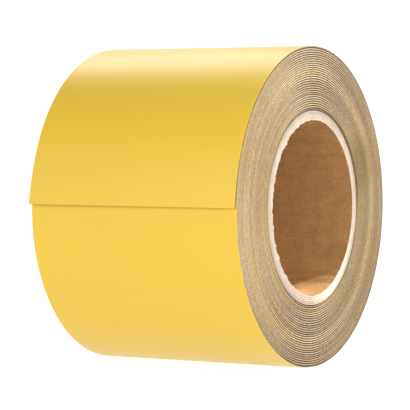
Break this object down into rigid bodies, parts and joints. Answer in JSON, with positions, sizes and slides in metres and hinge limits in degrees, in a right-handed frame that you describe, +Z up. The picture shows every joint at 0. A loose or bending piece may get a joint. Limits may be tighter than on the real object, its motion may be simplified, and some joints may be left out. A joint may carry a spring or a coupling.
{
  "type": "masking tape roll",
  "caption": "Wide roll of satin yellow film tape wound on a paper core, with a free end that peels off the roll.",
  "frame": {"origin": "middle of the core's bore, on the roll's axis", "axes": "+X along the roll's axis, out of the end face that shows the strip winding anticlockwise; -Y towards the free end, which hangs at the front; +Z up with the roll standing on its rim"},
  "size_m": [0.1, 0.1411, 0.1382],
  "materials": {
    "kraft_paper": "matte",
    "grey_board": "matte",
    "white_board": "matte",
    "yellow_film": "satin"
  },
  "bodies": {
    "roll": {"core_liner_ply": "kraft_paper", "core_body_ply_1": "grey_board", "core_body_ply_2": "grey_board", "core_body_ply_3": "grey_board", "core_face_ply": "white_board", "wound_tape": "yellow_film"},
    "tail_1": {"tape_tail_1": "yellow_film"},
    "tail_2": {"tape_tail_2": "yellow_film"},
    "tail_3": {"tape_tail_3": "yellow_film"},
    "tail_tip": {"tape_tail_tip": "yellow_film"}
  },
  "joints": [
    {"name": "tail_peel_1", "type": "hinge", "parent": "roll", "child": "tail_1", "pos_m": [0, -0.03493, 0.0605], "axis": [-1, 0, 0], "range_deg": [0, 30], "stiffness_Nm_per_rad": 0.03},
    {"name": "tail_peel_2", "type": "hinge", "parent": "tail_1", "child": "tail_2", "pos_m": [0, -0.0494, 0.0494], "axis": [-1, 0, 0], "range_deg": [0, 30], "stiffness_Nm_per_rad": 0.03},
    {"name": "tail_peel_3", "type": "hinge", "parent": "tail_2", "child": "tail_3", "pos_m": [0, -0.0605, 0.03493], "axis": [-1, 0, 0], "range_deg": [0, 30], "stiffness_Nm_per_rad": 0.03},
    {"name": "tip_lift", "type": "hinge", "parent": "tail_3", "child": "tail_tip", "pos_m": [0, -0.06755, 0.0181], "axis": [-1, 0, 0], "range_deg": [-2.5, 60], "stiffness_Nm_per_rad": 0.03}
  ],
  "couplings": [
    {"joint": "tail_peel_2", "follows": "tail_peel_1", "ratio": 1},
    {"joint": "tail_peel_3", "follows": "tail_peel_1", "ratio": 1}
  ]
}
